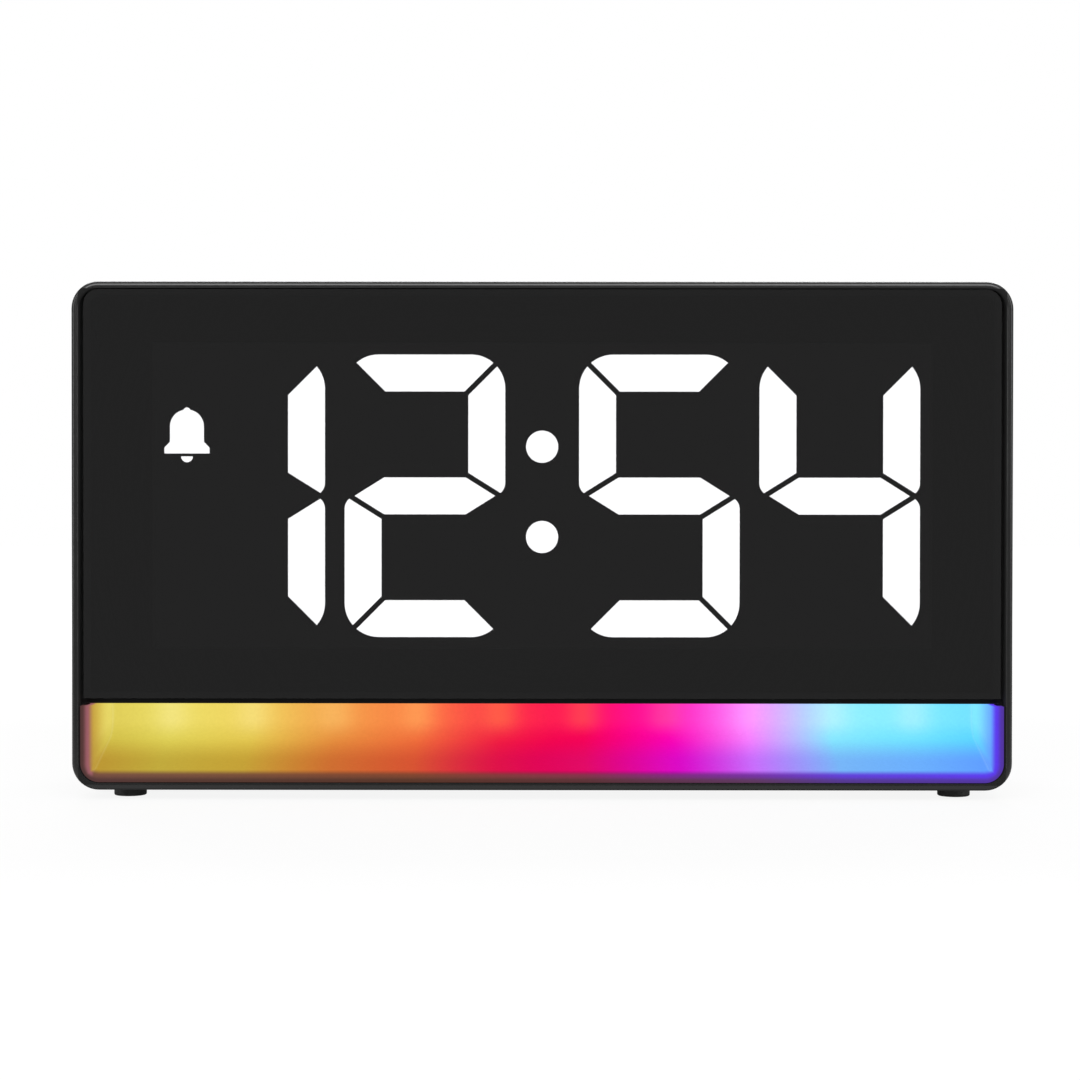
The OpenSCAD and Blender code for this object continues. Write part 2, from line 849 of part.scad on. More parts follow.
// Section of the diffuser's lip, rounded towards the recess
module lip_section() {
    difference() {
        translate([lip_edge, y_lip - lip_r])
            square([lip_w, y_seat - y_lip + lip_r]);
        difference() {
            translate([recess_edge - lip_r, y_lip - lip_r - eps])
                square(lip_r + eps);
            translate([recess_edge - lip_r, y_lip])
                circle(lip_r);
        }
    }
}

// Lower quarter of the knee between the recess's floor and back
module knee_quarter(r) {
    translate([y_knee, z_knee])
        intersection() {
            circle(r);
            translate([0, -r])
                square(r);
        }
}

// Section of the diffuser's tray: an even wall under the floor, round the knee and behind it
module tray_section() {
    r = knee_r + diffuser_t;
    knee_quarter(r);
    polygon([
        [y_lip, z_recess - diffuser_t / cos(recess_slope)],
        [y_knee + r * sin(recess_slope), z_knee - r * cos(recess_slope)],
        [y_knee, z_knee],
        [y_recess + diffuser_t, z_knee],
        [y_recess + diffuser_t, z_light_board],
        [y_wall + rail_fit, z_light_board],
        [y_wall + rail_fit, z_sill - rail_fit],
        [y_lip, z_sill - rail_fit]
    ]);
}

// Section of the open recess: its sloping floor, knee and upright back
module recess_section() {
    knee_quarter(knee_r);
    polygon([
        [y_front - eps, z_recess],
        [y_lip, z_recess],
        [y_knee + knee_r * sin(recess_slope), z_knee - knee_r * cos(recess_slope)],
        [y_knee, z_knee],
        [y_recess, z_knee],
        [y_recess, z_light_board + eps],
        [y_front - eps, z_light_board + eps]
    ]);
}

// Room between the drafted ends of the recess, a given edge inside the casing's sides
module drafted(edge) {
    half = body_w / 2 - edge;
    y_end = y_recess + 2 * diffuser_t;
    translate([0, 0, z_under])
        linear_extrude(z_light_board)
            polygon([
                [-half, y_front - eps],
                [half, y_front - eps],
                [half, y_lip],
                [half - recess_lean * (y_end - y_lip), y_end],
                [recess_lean * (y_end - y_lip) - half, y_end],
                [-half, y_lip]
            ]);
}

module light_diffuser() {
    color("#f0d2e6")
        difference() {
            union() {
                intersection() {
                    translate([0, 0, z_mid])
                        around(body_w, body_h, corner_r)
                            lip_section();
                    translate([-body_w / 2, y_front, z_under])
                        cube([body_w, body_d, z_sill - rail_fit - z_under]);
                }
                intersection() {
                    across(body_w)
                        tray_section();
                    slab(y_lip, y_recess + diffuser_t)
                        translate([0, z_mid])
                            rounded_rectangle(body_w - 2 * tray_edge, body_h - 2 * tray_edge, corner_r - tray_edge);
                    drafted(tray_edge);
                }
            }
            intersection() {
                across(body_w)
                    recess_section();
                drafted(recess_edge);
            }
        }
}

module light_board() {
    board_w = body_w - 2 * (tray_edge + recess_lean * (y_recess + diffuser_t - y_lip));
    color("#e9ecec")
        translate([-board_w / 2, light_board_y, z_light_board])
            cube([board_w, light_board_w, led_board_t]);
}

// Coloured LEDs under the board, each with its shallow dish
module light_leds() {
    color("#f6f2dc")
        for (i = [0 : led_count - 1])
            translate([(i - (led_count - 1) / 2) * led_pitch, led_y, z_light_board - led_h])
                difference() {
                    translate([-led_w / 2, -led_w / 2, 0])
                        cube([led_w, led_w, led_h]);
                    translate([0, 0, -eps])
                        cylinder(r = led_dish_r, h = led_dish_d + eps);
                }
}

// Bent pins that join the LED board to the display board's back
module light_pins() {
    foot = 1.6;
    grip = 2;
    z_board_top = z_light_board + led_board_t;
    color("#c9a94e")
        for (i = [0 : pin_count - 1])
            translate([(i - (pin_count - 1) / 2) * pin_pitch, 0, 0])
                across(pin_t)
                    polygon([
                        [y_display_back, z_display_low + grip],
                        [y_display_back, z_board_top],
                        [y_display_back + foot, z_board_top],
                        [y_display_back + foot, z_board_top + pin_t],
                        [y_display_back + pin_t, z_board_top + pin_t],
                        [y_display_back + pin_t, z_display_low + grip]
                    ]);
}

// Upper half of a digit's outline: wide corners on top, small ones at the waist
module half_digit() {
    w = digit_w / 2;
    h = digit_h / 2;
    translate([-w, waist_r])
        square([2 * w, h - digit_r - waist_r]);
    translate([digit_r - w, waist_r])
        square([2 * (w - digit_r), h - waist_r]);
    translate([waist_r - w, 0])
        square([2 * (w - waist_r), h - digit_r]);
    for (side = [-1, 1]) {
        translate([side * (w - digit_r), h - digit_r])
            circle(digit_r);
        translate([side * (w - waist_r), waist_r])
            circle(waist_r);
    }
}

module top_segment() {
    w = digit_w / 2;
    h = digit_h / 2;
    mitre = seg_gap / sqrt(2);
    intersection() {
        half_digit();
        polygon([
            [mitre - w, h],
            [w - mitre, h],
            [w - seg_w - mitre, h - seg_w],
            [seg_w + mitre - w, h - seg_w]
        ]);
    }
}

module right_segment() {
    w = digit_w / 2;
    h = digit_h / 2;
    mitre = seg_gap / sqrt(2);
    intersection() {
        half_digit();
        polygon([
            [w - seg_w, h - seg_w - mitre],
            [w, h - mitre],
            [w, 0],
            [w - seg_w, seg_w * tan(waist_angle)]
        ]);
    }
}

module middle_segment() {
    tip = digit_w / 2 - seg_gap / sin(waist_angle);
    shoulder = tip - seg_w / 2 / tan(waist_angle);
    polygon([
        [-tip, 0],
        [-shoulder, seg_w / 2],
        [shoulder, seg_w / 2],
        [tip, 0],
        [shoulder, -seg_w / 2],
        [-shoulder, -seg_w / 2]
    ]);
}

// Segments by their usual letters: a on top, then clockwise, with g in the middle
module segment(letter) {
    if (letter == "a")
        top_segment();
    if (letter == "b")
        right_segment();
    if (letter == "c")
        mirror([0, 1])
            right_segment();
    if (letter == "d")
        mirror([0, 1])
            top_segment();
    if (letter == "e")
        rotate(180)
            right_segment();
    if (letter == "f")
        mirror([1, 0])
            right_segment();
    if (letter == "g")
        middle_segment();
}

function segment_middle(letter) =
    let (side = (digit_w - seg_w) / 2, up = (digit_h - seg_w) / 2)
    letter == "a" ? [0, up] :
    letter == "b" ? [side, up / 2] :
    letter == "c" ? [side, -up / 2] :
    letter == "d" ? [0, -up] :
    letter == "e" ? [-side, -up / 2] :
    letter == "f" ? [-side, up / 2] : [0, 0];

// The bell sign takes the place of the first digit's upper left segment
function has_segment(i, letter) = i > 0 || letter != "f";
function is_lit(i, letter) = len(search(letter, glyphs[ord(time_shown[i]) - ord("0")])) > 0;

module segments(lit) {
    for (i = [0 : 3], letter = "abcdefg")
        if (has_segment(i, letter) && is_lit(i, letter) == lit)
            translate([digit_x[i], display_z])
                segment(letter);
}

// Bell with its knob, drawn from the middle of its foot
module bell() {
    dome_z = 2 * bell_step_h + bell_side_h;
    translate([-bell_w / 2, 0])
        square([bell_w, bell_step_h]);
    polygon([
        [-bell_w / 2, bell_step_h],
        [bell_w / 2, bell_step_h],
        [bell_dome_r, 2 * bell_step_h],
        [-bell_dome_r, 2 * bell_step_h]
    ]);
    translate([-bell_dome_r, 2 * bell_step_h])
        square([2 * bell_dome_r, bell_side_h]);
    translate([0, dome_z])
        circle(bell_dome_r);
    translate([0, dome_z + bell_dome_r - clapper_r / 4])
        circle(clapper_r * 0.6);
}

module clapper() {
    intersection() {
        translate([0, -bell_step_h / 2])
            circle(clapper_r);
        translate([-clapper_r, -bell_step_h / 2 - clapper_r])
            square([2 * clapper_r, clapper_r]);
    }
}

module signs() {
    translate([digit_x[0] - digit_w / 2 + bell_w / 2, display_z + bell_up]) {
        bell();
        clapper();
    }
    for (side = [-1, 1])
        translate([0, display_z + dot_lift + side * dot_pitch / 2])
            circle(d = dot_d);
}

// Block whose cavities give the segments their shape
module display_reflector() {
    color("#141414")
        slab(y_seat, y_display_board)
            difference() {
                translate([0, display_z])
                    square([reflector_w, reflector_h], center = true);
                segments(true);
                segments(false);
                signs();
            }
}

// Frosted resin cast into the cavities that are lit
module lit_segments() {
    color("white")
        slab(y_seat, y_seat + resin_d) {
            segments(true);
            signs();
        }
}

module dark_segments() {
    color("#262626")
        slab(y_seat, y_seat + resin_d)
            segments(false);
}

// One small LED on the display board behind each cavity
module display_leds() {
    color("#f4efd0") {
        for (i = [0 : 3], letter = "abcdefg")
            if (has_segment(i, letter))
                translate([digit_x[i], 0, display_z])
                    chip_led_at(segment_middle(letter));
        for (side = [-1, 1])
            translate([0, 0, display_z + dot_lift])
                chip_led_at([0, side * dot_pitch / 2]);
        translate([digit_x[0] - digit_w / 2 + bell_w / 2, 0, display_z + bell_up])
            chip_led_at([0, 2 * bell_step_h + bell_side_h / 2]);
    }
}

module chip_led_at(place) {
    translate([place[0] - chip_led[0] / 2, y_display_board - chip_led[1], place[1] - chip_led[2] / 2])
        cube(chip_led);
}

module display_board() {
    color("#1f5b35")
        difference() {
            translate([-display_board_w / 2, y_display_board, z_display_low])
                cube([display_board_w, board_t, z_display_top - z_display_low]);
            at_display_screws()
                facing_back(0, y_display_board - eps, 0)
                    cylinder(d = board_screw_d + 4 * thread_fit, h = board_t + 2 * eps);
        }
}

// Flat ribbon hanging in a loop between its two sockets
module display_ribbon() {
    y_loop = (y_display_back + y_control) / 2;
    z_loop = ribbon_z - ribbon_drop;
    color("#d9d9d2")
        translate([ribbon_x, 0, 0])
            across(ribbon_w) {
                translate([y_loop, z_loop])
                    intersection() {
                        difference() {
                            circle(ribbon_r + ribbon_t / 2);
                            circle(ribbon_r - ribbon_t / 2);
                        }
                        translate([-2 * ribbon_r, -2 * ribbon_r])
                            square([4 * ribbon_r, 2 * ribbon_r]);
                    }
                for (side = [-1, 1])
                    translate([y_loop + side * ribbon_r - ribbon_t / 2, z_loop])
                        square([ribbon_t, ribbon_drop]);
            }
}

module ribbon_sockets() {
    color("#efe9da")
        for (y = [y_display_back, y_control - ribbon_socket[1]])
            translate([ribbon_x - ribbon_socket[0] / 2, y, ribbon_z])
                cube(ribbon_socket);
}

module control_board() {
    color("#1f5b35")
        difference() {
            translate([-control_board_w / 2, y_control, control_board_z])
                cube([control_board_w, board_t, control_board_top - control_board_z]);
            at_standoffs()
                facing_back(0, y_control - eps, 0)
                    cylinder(d = board_screw_d + 4 * thread_fit, h = board_t + 2 * eps);
        }
}

// Controller in a flat case with bent legs along two sides
module controller_chip() {
    leg = [0.4, 0.2, 1.2];
    leg_pitch = chip[0] / chip_legs;
    lift = 0.2;
    color("#1b1b1d")
        translate([chip_x, y_control, chip_z]) {
            translate([-chip[0] / 2, -chip[1], -chip[2] / 2])
                cube([chip[0], chip[1] - lift, chip[2]]);
            for (i = [0 : chip_legs - 1], side = [-1, 1])
                translate([(i - (chip_legs - 1) / 2) * leg_pitch, 0, side * chip[2] / 2])
                    across(leg[0])
                        scale([1, side])
                            polygon([
                                [-chip[1] / 2, -leg[1]],
                                [-chip[1] / 2, leg[1] * 2],
                                [-leg[1], leg[1] * 2],
                                [-leg[1], leg[2]],
                                [0, leg[2]],
                                [0, leg[1]],
                                [-chip[1] / 2 + leg[1], leg[1]],
                                [-chip[1] / 2 + leg[1], -leg[1]]
                            ]);
        }
}

module quartz_crystal() {
    color("#c4c6c8")
        slab(y_control - crystal_h, y_control)
            translate([chip_x, crystal_z])
                stadium(crystal_l, crystal_w);
}

module filter_capacitor() {
    color("#2c3550")
        facing_back(socket_x, y_control - capacitor_h, capacitor_z)
            rotate_extrude()
                half_lid(capacitor_r, 0, capacitor_h, 0.4);
}

// Square switch case along Z with the plunger's bore and four legs
module switch_case() {
    bore_d = plunger_in + press_travel + plunger_fit;
    difference() {
        union() {
            translate([-switch_w / 2, -switch_w / 2, 0])
                cube([switch_w, switch_w, switch_h]);
            for (sx = [-1, 1], sy = [-1, 1])
                translate([
                    sx * (switch_w / 2 + switch_leg[0] / 2) - switch_leg[0] / 2,
                    sy * switch_w / 4 - switch_leg[1] / 2,
                    0
                ])
                    cube(switch_leg);
        }
        translate([0, 0, switch_h - bore_d])
            cylinder(d = plunger_d + 2 * plunger_fit, h = bore_d + eps);
    }
}

module switch_plunger() {
    translate([0, 0, switch_h - plunger_in])
        cylinder(d = plunger_d, h = plunger_in + plunger_out);
}

module at_snooze_switch() {
    translate([0, snooze_switch_y, snooze_switch_z])
        children();
}

// Switches behind the five buttons, and one on a bracket under the snooze bar
module switch_cases() {
    color("#2a2b2e") {
        for (i = [0 : len(button_names) - 1])
            facing_back(button_x(i), y_control_back, controls_z)
                switch_case();
        at_snooze_switch() {
            switch_case();
            translate([-switch_w / 2, switch_w / 2, -switch_h / 2])
                cube([switch_w, snooze_bracket_t, 1.5 * switch_h]);
        }
    }
}

module slide_switch_case() {
    case_l = slider_stem + slide_travel + 4;
    color("#b9bcbf")
        facing_back(place_x(0), y_control_back, controls_z)
            difference() {
                translate([-case_l / 2, -slide_case_w / 2, 0])
                    cube([case_l, slide_case_w, slide_case_h]);
                translate([
                    -(slider_stem + slide_travel) / 2 - slide_fit,
                    -slider_stem / 2 - slide_fit,
                    slide_case_h / 2
                ])
                    cube([slider_stem + slide_travel + 2 * slide_fit, slider_stem + 2 * slide_fit, slide_case_h]);
            }
}

// Thumb piece with grip grooves, skirt under the cover and stem in its switch
module alarm_slider() {
    y_skirt = y_panel_in - slide_fit - slider_skirt_t;
    y_stem = y_control_back + slide_case_h / 2 + slide_fit;
    y_thumb = y_panel + button_proud;
    skirt_l = slider_l + 2 * slide_travel;
    skirt_w = slider_w + 3;
    groove_pitch = slider_l / (slider_grooves + 1);
    color("#d9dadc")
        translate([place_x(0) - slide_travel / 2, 0, controls_z])
            difference() {
                union() {
                    slab(y_stem, y_skirt + eps)
                        square(slider_stem, center = true);
                    slab(y_skirt, y_skirt + slider_skirt_t)
                        square([skirt_l, skirt_w], center = true);
                    slab(y_skirt, y_thumb)
                        square([slider_l, slider_w], center = true);
                }
                for (i = [1 : slider_grooves])
                    translate([i * groove_pitch - slider_l / 2 - slider_groove_w / 2, y_thumb - 0.4, -slider_w])
                        cube([slider_groove_w, 1, 2 * slider_w]);
            }
}

// Upright power socket: a thin shell with round ends
module power_socket_shell() {
    color("#c9ccd0")
        slab(y_control_back, y_socket_mouth)
            translate([socket_x, socket_z])
                difference() {
                    stadium(socket_w, socket_h);
                    stadium(socket_w - 2 * socket_t, socket_h - 2 * socket_t);
                }
}

module power_socket_tongue() {
    color("#1d1d1f")
        translate([socket_x, 0, socket_z]) {
            slab(y_control_back, y_control_back + socket_base_d)
                stadium(socket_w - 2 * socket_t - stop_fit, socket_h - 2 * socket_t - stop_fit);
            slab(y_control_back, y_socket_mouth - 0.5)
                square(tongue, center = true);
        }
}

module sounder() {
    color("#202022")
        facing_back(0, y_control_back, sound_z)
            difference() {
                rotate_extrude()
                    half_lid(sounder_d / 2, 0, sounder_h, 0.5);
                translate([0, 0, sounder_h / 2])
                    cylinder(r = sounder_hole_r, h = sounder_h);
            }
}

// Coin cell: a can with its smaller cap towards the board
module backup_cell() {
    cap_h = 0.4;
    cap_in = 1.5;
    can_edge_r = 0.3;
    color("#c3c5c8")
        facing_back(battery_x, y_cell, battery_z) {
            cylinder(r = cell_d / 2 - cap_in, h = cap_h);
            translate([0, 0, cap_h])
                rotate_extrude()
                    half_lid(cell_d / 2, 0, cell_t - cap_h, can_edge_r);
        }
}

// Strip beside the cell's can, down to the board
module cell_contact_plus() {
    color("#d7d2c4")
        translate([battery_x - cell_d / 2 - stop_fit - contact_t, y_control_back, battery_z - contact_w / 2])
            cube([contact_t, y_hub - lug_fit - y_control_back, contact_w]);
}

// Bent leaf under the cell's cap, with its tail down to the board
module cell_contact_minus() {
    tail = minus_tail_x();
    arm = cell_d / 4;
    color("#d7d2c4")
        translate([battery_x, 0, battery_z - contact_w / 2])
            linear_extrude(contact_w)
                polygon([
                    [tail + contact_t, y_control_back],
                    [tail + contact_t, y_cup_floor + contact_t],
                    [0, y_cup_floor + contact_t],
                    [-arm, y_cell],
                    [-arm, y_cell - contact_t],
                    [0, y_cup_floor],
                    [tail, y_cup_floor],
                    [tail, y_control_back]
                ]);
}

module case_screws() {
    color("#3a3b3d")
        at_case_screws()
            facing_back(0, y_case_head, 0)
                screw(case_screw_d, case_screw_l, case_head_r, case_head_h);
}

module board_screws() {
    color("#b4b6b8") {
        at_display_screws()
            facing_back(0, y_display_back, 0)
                screw(board_screw_d, board_screw_l, board_head_r, board_head_h);
        at_standoffs()
            translate([0, y_control, 0])
                rotate([90, 0, 0])
                    screw(board_screw_d, board_screw_l, board_head_r, board_head_h);
    }
}

function foot_y(row) = row == 0 ? y_front + foot_front : y_split - foot_back;

module at_feet() {
    for (side = [-1, 1], row = [0, 1])
        translate([side * (body_w / 2 - foot_side), foot_y(row), 0])
            children();
}

// Round rubber foot in its pocket, with its lower edge eased
module foot(side, row) {
    edge = 0.3;
    color("#101011")
        translate([side * (body_w / 2 - foot_side), foot_y(row), foot_h + foot_pocket])
            mirror([0, 0, 1])
                rotate_extrude()
                    half_lid(foot_d / 2, 0, foot_h + foot_pocket, edge);
}

module foot_front_left() {
    foot(-1, 0);
}

module foot_front_right() {
    foot(1, 0);
}

module foot_rear_left() {
    foot(-1, 1);
}

module foot_rear_right() {
    foot(1, 1);
}

// Bar with round ends, a stop under the top wall, two guide blades and the stem over its switch
module snooze_bar() {
    z_plunger = snooze_switch_z + switch_h + plunger_out;
    z_blade = z_guide + rail_fit;
    color("#1d1e20") {
        translate([0, snooze_y, 0])
            round_bar(snooze_l, snooze_w) {
                half_lid(snooze_w / 2, z_snooze_stop, z_top + snooze_proud, snooze_edge_r);
                translate([0, z_snooze_stop])
                    square([snooze_w / 2 + snooze_stop_w, snooze_stop_t]);
            }
        for (side = [-1, 1])
            translate([side * blade_pitch / 2 - blade_t / 2, snooze_y - blade_w / 2, z_blade])
                cube([blade_t, blade_w, z_snooze_stop - z_blade + eps]);
        translate([0, snooze_switch_y, z_plunger])
            cylinder(r = snooze_stem_r, h = z_snooze_stop - z_plunger + eps);
    }
}

module snooze_plunger() {
    color("#e8e4d8")
        at_snooze_switch()
            switch_plunger();
}

// Round button cap with a stop behind the panel and an eased, slightly dished face
module button(i) {
    cap_h = y_panel + button_proud - y_cap;
    dish_r = 2 * button_d;
    color("#2b2c2f")
        facing_back(button_x(i), y_cap, controls_z)
            difference() {
                rotate_extrude() {
                    half_lid(button_d / 2, 0, cap_h, cap_edge_r);
                    square([button_d / 2 + cap_stop_w, cap_stop_t]);
                }
                translate([0, 0, cap_h + dish_r - 0.25])
                    sphere(dish_r);
            }
}

module plunger(i) {
    color("#e8e4d8")
        facing_back(button_x(i), y_control_back, controls_z)
            switch_plunger();
}

module time_button() {
    button(0);
}

module alarm_button() {
    button(1);
}

module up_button() {
    button(2);
}

module down_button() {
    button(3);
}

module light_button() {
    button(4);
}

module time_plunger() {
    plunger(0);
}

module alarm_plunger() {
    plunger(1);
}

module up_plunger() {
    plunger(2);
}

module down_plunger() {
    plunger(3);
}

module light_plunger() {
    plunger(4);
}

// Round door with a coin slot, held under the cover by its lugs
module battery_door() {
    door_h = y_rear - door_sink - y_hub;
    color("#1c1d1f")
        facing_back(battery_x, y_hub, battery_z)
            difference() {
                union() {
                    rotate_extrude() {
                        translate([0, lug_t + lug_fit])
                            half_lid(door_r, 0, door_h - lug_t - lug_fit, door_edge_r);
                        square([hub_r, lug_t + 2 * lug_fit]);
                    }
                    linear_extrude(lug_t)
                        for (i = [0 : lug_count - 1])
                            sector(door_r + lug_w, i * 360 / lug_count, lug_angle);
                }
                translate([-coin_slot[0] / 2, -coin_slot[1] / 2, door_h - coin_slot[2]])
                    cube([coin_slot[0], coin_slot[1], coin_slot[2] + eps]);
            }
}

front_casing();
rear_cover();
display_lens();
lens_tape();
light_diffuser();
light_board();
light_leds();
light_pins();
display_reflector();
lit_segments();
dark_segments();
display_leds();
display_board();
display_ribbon();
ribbon_sockets();
control_board();
controller_chip();
quartz_crystal();
filter_capacitor();
switch_cases();
slide_switch_case();
power_socket_shell();
power_socket_tongue();
sounder();
backup_cell();
cell_contact_plus();
cell_contact_minus();
case_screws();
board_screws();
foot_front_left();
foot_front_right();
foot_rear_left();
foot_rear_right();
snooze_bar();
snooze_plunger();
time_button();
alarm_button();
up_button();
down_button();
light_button();
time_plunger();
alarm_plunger();
up_plunger();
down_plunger();
light_plunger();
alarm_slider();
battery_door();
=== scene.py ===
import math

import bmesh
import bpy
from mathutils import Matrix, Vector


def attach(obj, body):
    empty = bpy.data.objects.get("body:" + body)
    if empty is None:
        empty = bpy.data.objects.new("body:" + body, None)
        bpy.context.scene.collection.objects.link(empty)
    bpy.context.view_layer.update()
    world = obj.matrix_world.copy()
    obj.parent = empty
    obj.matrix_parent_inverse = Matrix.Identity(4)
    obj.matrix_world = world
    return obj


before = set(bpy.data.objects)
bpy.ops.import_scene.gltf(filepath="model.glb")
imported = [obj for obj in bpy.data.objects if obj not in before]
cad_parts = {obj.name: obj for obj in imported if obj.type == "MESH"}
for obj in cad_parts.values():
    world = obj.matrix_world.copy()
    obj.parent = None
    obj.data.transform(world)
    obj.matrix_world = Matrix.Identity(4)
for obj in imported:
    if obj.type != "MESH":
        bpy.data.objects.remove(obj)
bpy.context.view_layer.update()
scene = bpy.context.scene
scene.view_settings.view_transform = "Standard"

# what all moulded pieces share, unless their own look says otherwise
mouldLook = {"grainDetail": 3, "grainRough": 0.6, "spread": (0.3, 0.7), "bumpDepth": 0.00005,
             "shine": 0.5, "metal": 0}
displayGamma = 2.2


# small helpers for shader trees
def startMaterial(name):
    material = bpy.data.materials.new(name)
    material.use_nodes = True
    tree = material.node_tree
    return material, tree, tree.nodes["Principled BSDF"]


def setInputs(tree, node, values):
    for socket, value in values.items():
        if isinstance(value, bpy.types.NodeSocket):
            tree.links.new(value, node.inputs[socket])
        else:
            node.inputs[socket].default_value = value


def addNode(tree, kind, values=None, **settings):
    node = tree.nodes.new(kind)
    for key, value in settings.items():
        setattr(node, key, value)
    setInputs(tree, node, values or {})
    return node


def maths(tree, operation, *terms, clamp=False):
    node = addNode(tree, "ShaderNodeMath", dict(enumerate(terms)), operation=operation, use_clamp=clamp)
    return node.outputs[0]


def between(tree, share, low, high):  # low where the share is 0, high where it is 1
    return maths(tree, "MULTIPLY_ADD", share, high - low, low)


def fade(tree, value, start, end):  # eases from 0 at start to 1 at end
    node = addNode(tree, "ShaderNodeMapRange", {"Value": value, "From Min": start, "From Max": end},
                   interpolation_type="SMOOTHSTEP")
    return node.outputs[0]


def ranged(tree, value, start, end):  # one range of values straight onto another
    node = addNode(tree, "ShaderNodeMapRange", {"Value": value, "From Min": start[0], "From Max": start[1],
                                                "To Min": end[0], "To Max": end[1]})
    return node.outputs[0]


def mixColour(tree, share, first, second):
    node = addNode(tree, "ShaderNodeMix", {0: share, 6: first, 7: second}, data_type="RGBA")
    return node.outputs[2]


def mixValue(tree, share, first, second):
    return addNode(tree, "ShaderNodeMix", {0: share, 2: first, 3: second}).outputs[0]


def vectorMaths(tree, operation, *terms):
    return addNode(tree, "ShaderNodeVectorMath", dict(enumerate(terms)), operation=operation).outputs


def scaled(tree, colour, factor):
    node = addNode(tree, "ShaderNodeVectorMath", {0: colour, "Scale": factor}, operation="SCALE")
    return node.outputs[0]


def objectPlace(tree):
    return addNode(tree, "ShaderNodeTexCoord").outputs["Object"]


def objectAxes(tree):
    return addNode(tree, "ShaderNodeSeparateXYZ", {"Vector": objectPlace(tree)}).outputs


def noise(tree, scale, detail=2, roughness=0.5):
    node = addNode(tree, "ShaderNodeTexNoise", {"Vector": objectPlace(tree), "Scale": scale,
                                                "Detail": detail, "Roughness": roughness})
    return node.outputs["Fac"]


def bumped(tree, height, strength, depth):
    node = addNode(tree, "ShaderNodeBump", {"Height": height, "Strength": strength, "Distance": depth})
    return node.outputs["Normal"]


def grey(value):
    return (value, value, value, 1)


def displayColour(colour):
    return (*[c / 255 for c in colour], 1)


def asLight(tree, colour):  # a display colour as the light that shows it
    return addNode(tree, "ShaderNodeGamma", {"Color": colour, "Gamma": displayGamma}).outputs[0]


# moulded plastic, rubber and plain metal share one tree: grain, cloudy gloss and fine bump
def moulded(name, look):
    material, tree, shader = startMaterial(name)
    grain = noise(tree, look["grain"], mouldLook["grainDetail"], mouldLook["grainRough"])
    tone = ranged(tree, grain, mouldLook["spread"], (0, 1))
    setInputs(tree, shader, {
        "Base Color": mixColour(tree, tone, (*look["dark"], 1), (*look["light"], 1)),
        "Roughness": ranged(tree, noise(tree, look["cloud"]), mouldLook["spread"], look["rough"]),
        "Normal": bumped(tree, grain, look["bump"], mouldLook["bumpDepth"]),
        "Specular IOR Level": look.get("shine", mouldLook["shine"]),
        "Metallic": look.get("metal", mouldLook["metal"]),
    })
    return material


def dress(material, *nodes):
    for name in nodes:
        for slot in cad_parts[name].material_slots:
            slot.material = material


# the mould's inner faces behind the rim, down to the bottom rim's inner rounding, and the door's coin slot
# are left matt and painted near-black as shade
mattShadeLook = {"colour": (0.001, 0.001, 0.001, 1), "rough": 1.0}


def mattShadeWhere(material, *tests):  # matt and a painted near-black shade where all the tests hold
    tree = material.node_tree
    shader = tree.nodes["Principled BSDF"]
    inside = tests[0]
    for test in tests[1:]:
        inside = maths(tree, "MULTIPLY", inside, test)
    colour, gloss = [shader.inputs[socket].links[0].from_socket for socket in ("Base Color", "Roughness")]
    setInputs(tree, shader, {"Base Color": mixColour(tree, inside, colour, mattShadeLook["colour"]),
                             "Roughness": mixValue(tree, inside, gloss, mattShadeLook["rough"])})
    return material


casingLook = {"dark": (0.002, 0.002, 0.002), "light": (0.005, 0.005, 0.005), "grain": 3600, "cloud": 60,
              "rough": (0.23, 0.27), "bump": 0.12, "shine": 0.42}
innerLook = {"side": 0.07885, "low": 0.00272, "high": 0.0871}


def frontCasing():
    material = moulded("casingFront", casingLook)
    tree = material.node_tree
    axes = objectAxes(tree)
    # painted shade behind the rim and on the bottom rim's inner rounding, which loses its highlight
    return mattShadeWhere(material,
                     maths(tree, "LESS_THAN", maths(tree, "ABSOLUTE", axes["X"]), innerLook["side"]),
                     maths(tree, "GREATER_THAN", axes["Z"], innerLook["low"]),
                     maths(tree, "LESS_THAN", axes["Z"], innerLook["high"]))


doorLook = {**casingLook, "rough": (0.26, 0.32), "bump": 0.15}
slotLook = {"middle": (0.042, 0.0338), "reach": (0.0061, 0.0009), "below": 0.02225}


def cellDoor():
    material = moulded("doorBlack", doorLook)
    tree = material.node_tree
    axes = objectAxes(tree)
    tests = [maths(tree, "COMPARE", axes[axis], middle, reach)
             for axis, middle, reach in zip("XZ", slotLook["middle"], slotLook["reach"])]
    # painted shade: the coin slot's floor is near-black and matt
    return mattShadeWhere(material, maths(tree, "LESS_THAN", axes["Y"], slotLook["below"]), *tests)


buttonLook = {"dark": (0.008, 0.008, 0.008), "light": (0.015, 0.015, 0.015), "grain": 5200, "cloud": 140,
              "rough": (0.27, 0.3), "bump": 0.08, "shine": 0.45}
# the caps' dished faces have a pole in the middle, where the mesh's own normal leans over
dishLook = {"radius": 0.0148, "pole": 0.0007, "pitch": 0.016, "line": 0.0663}


